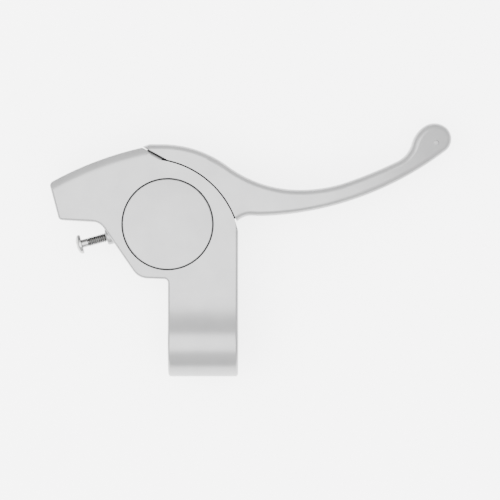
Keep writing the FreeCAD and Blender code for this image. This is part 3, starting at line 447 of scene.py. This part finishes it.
def threaded_finish(name, point, line, start, end, crest, depth):
    """Zinc with grease and painted shade in the roots of a thread round a line."""
    root = crest - depth * ROOT_SHARE
    material, shader, place = zinc_finish(name)
    off = calc_vector(material, "SUBTRACT", place, point)
    away = calc_vector(material, "LENGTH", calc_vector(material, "CROSS_PRODUCT", off, line))
    along = calc_vector(material, "DOT_PRODUCT", off, line)
    deep = spread(material, away, 1.0, 0.0, root, root + (crest - root) * ROOT_SHADE_SHARE)
    stretch = calc(material, "COMPARE", along, (start + end) / 2, (end - start) / 2)
    # Grease and painted shade: the thread roots are coloured dark.
    paint_over(material, shader, both(material, deep, stretch), ROOT_SHADE_AND_GREASE)
    return material


# %% [markdown]
# Each new piece stands for a CAD node, so it takes the node's place: the plain solid is hidden,
# and the piece rides on the same body. Flat faces stay flat and round ones smooth, split by a
# sharp angle.

# %% Placing a piece
SHARP = math.radians(30)


def place_piece(node, body, rings, matrix, material, closed=False):
    """Makes a finished piece of rings and sets it in the place of a CAD node."""
    name = node + "_piece"
    mesh = skin(name, rings, closed)
    mesh.transform(matrix)
    mesh.materials.append(material)
    mesh.shade_smooth()
    mesh.set_sharp_from_angle(angle=SHARP)
    piece = bpy.data.objects.new(name, mesh)
    bpy.context.scene.collection.objects.link(piece)
    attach(piece, body)
    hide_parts(node)
    print(name, len(mesh.polygons), "faces in place of", node)


# %% [markdown]
# The reach screw is the only fastener in full view: an M4 pan-head screw, with a
# domed head and a cross recess. Its rings start on the floor of the recess, climb
# its walls, run out over the dome and go down the shank. Next to the head the
# shank is plain, as on a rolled screw, and thinner than the crests.

# %% Reach screw
HEAD_SEAT, HEAD_EDGE, HEAD_CROWN = -10.3 * MM, -11.1 * MM, -12.8 * MM
HEAD_RADIUS = 4.0 * MM
SHANK = 1.72 * MM
THREAD_START, THREAD_END = HEAD_SEAT + 2.4 * MM, 5.2 * MM
SCREW_CREST, SCREW_DEPTH, SCREW_PITCH = 2.0 * MM, 0.42 * MM, 0.8 * MM
RECESS_SPAN, RECESS_WIDTH, RECESS_DEPTH = 2.2 * MM, 0.5 * MM, 1.3 * MM
WELL_SPAN, WELL_WIDTH = 1.1 * MM, 0.3 * MM
RECESS_RIM = 2.7 * MM
HEAD_BEVEL = 0.25 * MM
TIP_RADIUS, TIP_LENGTH = 1.5 * MM, 0.5 * MM
RIM_SHARES = (0.35, 0.7, 1.0)
DOME_SHARES = (0.78, 0.86, 0.93, 0.97, 0.99, 1.0)


def dome(radius):
    """The height of the domed head at a radius."""
    share = min(1.0, radius / HEAD_RADIUS)
    return HEAD_EDGE - (HEAD_EDGE - HEAD_CROWN) * math.sqrt(1 - share * share)


recess = cross(RECESS_SPAN, RECESS_WIDTH)


def rim(share):
    """The radius between the cross, at share 0, and a circle round it, at share 1."""
    return lambda angle: recess(angle) * (1 - share) + RECESS_RIM * share


rings = [ring(cross(WELL_SPAN, WELL_WIDTH), HEAD_CROWN + RECESS_DEPTH), ring(recess, dome)]
rings += [ring(rim(share), dome) for share in RIM_SHARES]
rings += [ring(HEAD_RADIUS * share, dome) for share in DOME_SHARES]
rings += [ring(HEAD_RADIUS, HEAD_SEAT - HEAD_BEVEL), ring(HEAD_RADIUS - HEAD_BEVEL, HEAD_SEAT)]
rings += [ring(SHANK, HEAD_SEAT), ring(SHANK, THREAD_START)]
rings += thread(THREAD_START, THREAD_END, SCREW_CREST, SCREW_PITCH, SCREW_DEPTH)
rings.append(ring(TIP_RADIUS, THREAD_END + TIP_LENGTH))
turned = SCREW_LINE.to_track_quat("Z", "Y").to_matrix().to_4x4()
along_screw = Matrix.Translation(SCREW_BOSS) @ turned
screw_zinc = threaded_finish(
    "screw_zinc", SCREW_BOSS, SCREW_LINE, THREAD_START, THREAD_END, SCREW_CREST, SCREW_DEPTH)
place_piece("reach_screw", "reach", rings, along_screw, screw_zinc)

# %% [markdown]
# The pivot bolt shows its threaded end under the nut, and its head hides under the
# cap. The rings climb from the end: thread, smooth shoulder, head and hex socket.

# %% Pivot bolt
BOLT_END, SHOULDER_LOW, SHOULDER_TOP = -13.0 * MM, -8.5 * MM, 8.0 * MM
BOLT_CREST, BOLT_DEPTH, BOLT_PITCH = 2.5 * MM, 0.45 * MM, 0.8 * MM
BOLT_HEAD, SHOULDER = 4.2 * MM, 3.0 * MM
BOLT_TOP, BOLT_BEVEL = 9.9 * MM, 0.3 * MM
BOLT_SOCKET, BOLT_SOCKET_DEPTH = 3.0 * MM, 1.4 * MM
# The dark roots, partly grease and partly painted shade, start this far past the bolt's end.
LEAD, ROOT_SHADE_LEAD = 0.05 * MM, 0.1 * MM

rings = [ring(BOLT_CREST - BOLT_DEPTH, BOLT_END)]
rings += thread(BOLT_END + LEAD, SHOULDER_LOW, BOLT_CREST, BOLT_PITCH, BOLT_DEPTH)
rings += [ring(SHOULDER, SHOULDER_LOW), ring(SHOULDER, SHOULDER_TOP)]
rings += [ring(BOLT_HEAD, SHOULDER_TOP), ring(BOLT_HEAD, BOLT_TOP - BOLT_BEVEL)]
rings.append(ring(BOLT_HEAD - BOLT_BEVEL, BOLT_TOP))
rings.append(ring(hexagon(BOLT_SOCKET), BOLT_TOP))
rings.append(ring(hexagon(BOLT_SOCKET), BOLT_TOP - BOLT_SOCKET_DEPTH))
to_pivot = Matrix.Translation((PIVOT.x, PIVOT.y, 0))
pivot_zinc = threaded_finish(
    "pivot_zinc", PIVOT, UPRIGHT, BOLT_END + ROOT_SHADE_LEAD, SHOULDER_LOW, BOLT_CREST, BOLT_DEPTH)
place_piece("pivot_bolt", "mounting", rings, to_pivot, pivot_zinc)

# %% [markdown]
# A real nut is not a sharp hexagon: both faces are turned to a cone, which leaves
# an arc on every flat. The rings take the smaller of the hexagon and the cone, and
# the skin is closed through the hole, so the nut is one ring of metal.

# %% Pivot nut
NUT_LOW, NUT_TOP = -12.3 * MM, -9.3 * MM
NUT_FLATS = 8.0 * MM
CONE_LOW, CONE_HIGH = 3.9 * MM, 4.7 * MM
CONE_RISE = 0.42 * MM
CONE_STEPS = 4


def nut_edge(share):
    """The hexagon of the nut, held inside the cone at a share of its rise."""
    limit = CONE_LOW + (CONE_HIGH - CONE_LOW) * share
    return lambda angle: min(hexagon(NUT_FLATS)(angle), limit)


rings = [ring(BOLT_CREST, NUT_LOW)]
for step in range(CONE_STEPS + 1):
    rings.append(ring(nut_edge(step / CONE_STEPS), NUT_LOW + CONE_RISE * step / CONE_STEPS))
for step in range(CONE_STEPS, -1, -1):
    rings.append(ring(nut_edge(step / CONE_STEPS), NUT_TOP - CONE_RISE * step / CONE_STEPS))
rings.append(ring(BOLT_CREST, NUT_TOP))
place_piece("pivot_nut", "mounting", rings, to_pivot, zinc, closed=True)

# %% [markdown]
# The clamp bolt is a socket-head bolt, seen from below and, as a bare threaded
# shank, through the split of the clamp. Its head has a straight knurl for the
# fingers, and its edge is turned smooth above and below the knurl.

# %% Clamp bolt
CLAMP_END, CLAMP_SEAT = 5.0 * MM, -12.2 * MM
CLAMP_HEAD_LOW, CLAMP_HEAD = -16.8 * MM, 4.25 * MM
SOCKET, SOCKET_DEPTH = 4.0 * MM, 2.6 * MM
KNURL = knurl(CLAMP_HEAD, 0.16 * MM)
TURNED = CLAMP_HEAD - 0.06 * MM
EDGE, BAND, SEAT_BEVEL = 0.4 * MM, 0.5 * MM, 0.2 * MM
TIP = 0.1 * MM

rings = [ring(hexagon(SOCKET), CLAMP_HEAD_LOW + SOCKET_DEPTH)]
rings.append(ring(hexagon(SOCKET), CLAMP_HEAD_LOW))
rings += [ring(CLAMP_HEAD - EDGE, CLAMP_HEAD_LOW), ring(TURNED, CLAMP_HEAD_LOW + EDGE)]
rings += [ring(KNURL, CLAMP_HEAD_LOW + BAND), ring(KNURL, CLAMP_SEAT - BAND)]
rings += [ring(TURNED, CLAMP_SEAT - EDGE), ring(CLAMP_HEAD - SEAT_BEVEL, CLAMP_SEAT)]
rings.append(ring(BOLT_CREST - BOLT_DEPTH, CLAMP_SEAT))
rings += thread(CLAMP_SEAT + LEAD, CLAMP_END - TIP, BOLT_CREST, BOLT_PITCH, BOLT_DEPTH)
rings.append(ring(BOLT_CREST - BOLT_DEPTH - TIP, CLAMP_END))
clamp_foot = Vector((CLAMP_BOLT.x, CLAMP_BOLT.y, 0))
clamp_zinc = threaded_finish(
    "clamp_zinc", clamp_foot, UPRIGHT, CLAMP_SEAT, CLAMP_END - TIP, BOLT_CREST, BOLT_DEPTH)
place_piece("clamp_bolt", "mounting", rings, Matrix.Translation(clamp_foot), clamp_zinc)

# %% [markdown]
# The lever hangs on a bar in use, but a product picture lays it over a white table. One large
# plane just under the lowest bolt is the floor. Its paper glows a little, because a picture like
# this one is lit until the table is almost pure white.

# %% Floor
FLOOR_REACH = 3.0
FLOOR_DROP = 1 * MM
FLOOR_GLOW = 3.5
FLOOR_LEVEL = cad_box[0][2] - FLOOR_DROP
CORNERS = ((-1, -1), (1, -1), (1, 1), (-1, 1))

corners = [(x * FLOOR_REACH, y * FLOOR_REACH, FLOOR_LEVEL) for x, y in CORNERS]
floor_mesh = bpy.data.meshes.new("floor")
floor_mesh.from_pydata(corners, [], [(0, 1, 2, 3)])
floor = bpy.data.objects.new("floor", floor_mesh)
bpy.context.scene.collection.objects.link(floor)
paper, shader, place = new_finish("white_paper", 0.0, 0.8)
tint(paper, shader, noise(paper, place, 40.0), (0.9, 0.9, 0.9), (0.93, 0.93, 0.93))
shader.inputs["Emission Color"].default_value = (1, 1, 1, 1)
shader.inputs["Emission Strength"].default_value = FLOOR_GLOW
floor_mesh.materials.append(paper)
print("floor at", round(FLOOR_LEVEL * 1000, 1), "mm")

# %% [markdown]
# The tones of the photograph tell where its light was. Faces that look straight up
# are the brightest, and the blade grows darker as it falls away to the right, so
# one wide panel hung above and reached far to the left, but not to the right.

# %% Panel
PANEL_HEIGHT = 1.7
PANEL_LEFT, PANEL_RIGHT = -1.5, 0.62
PANEL_NEAR, PANEL_FAR = -1.1, 0.6
PANEL_GLOW = 6.2

panel_data = bpy.data.lights.new("panel", "AREA")
panel_data.shape = "RECTANGLE"
panel_data.size = PANEL_RIGHT - PANEL_LEFT
panel_data.size_y = PANEL_FAR - PANEL_NEAR
panel_data.energy = PANEL_GLOW * math.pi * panel_data.size * panel_data.size_y
panel = bpy.data.objects.new("panel", panel_data)
bpy.context.scene.collection.objects.link(panel)
panel.location = ((PANEL_LEFT + PANEL_RIGHT) / 2, (PANEL_NEAR + PANEL_FAR) / 2, PANEL_HEIGHT)
print("panel", round(panel_data.size, 2), "by", round(panel_data.size_y, 2), "m,",
      round(panel_data.energy, 1), "W")

# %% [markdown]
# The room behind the panel is white overhead and dimmer towards the horizon. That
# is what gives bright metal its dark lines, and the rounded edges their soft shade.

# %% Room
ROOM_TOP, ROOM_SIDE = 2.4, 1.0
ROOM_RISE = 0.5

world = bpy.data.worlds.new("room")
world.use_nodes = True
sky = world.node_tree.nodes.new("ShaderNodeTexCoord")
split = world.node_tree.nodes.new("ShaderNodeSeparateXYZ")
world.node_tree.links.new(sky.outputs["Generated"], split.inputs[0])
strength = spread(world, split.outputs["Z"], ROOM_SIDE, ROOM_TOP, 0.0, ROOM_RISE)
backdrop = world.node_tree.nodes["Background"]
backdrop.inputs["Color"].default_value = (1, 1, 1, 1)
world.node_tree.links.new(strength, backdrop.inputs["Strength"])
bpy.context.scene.world = world
print("room from", ROOM_SIDE, "to", ROOM_TOP)
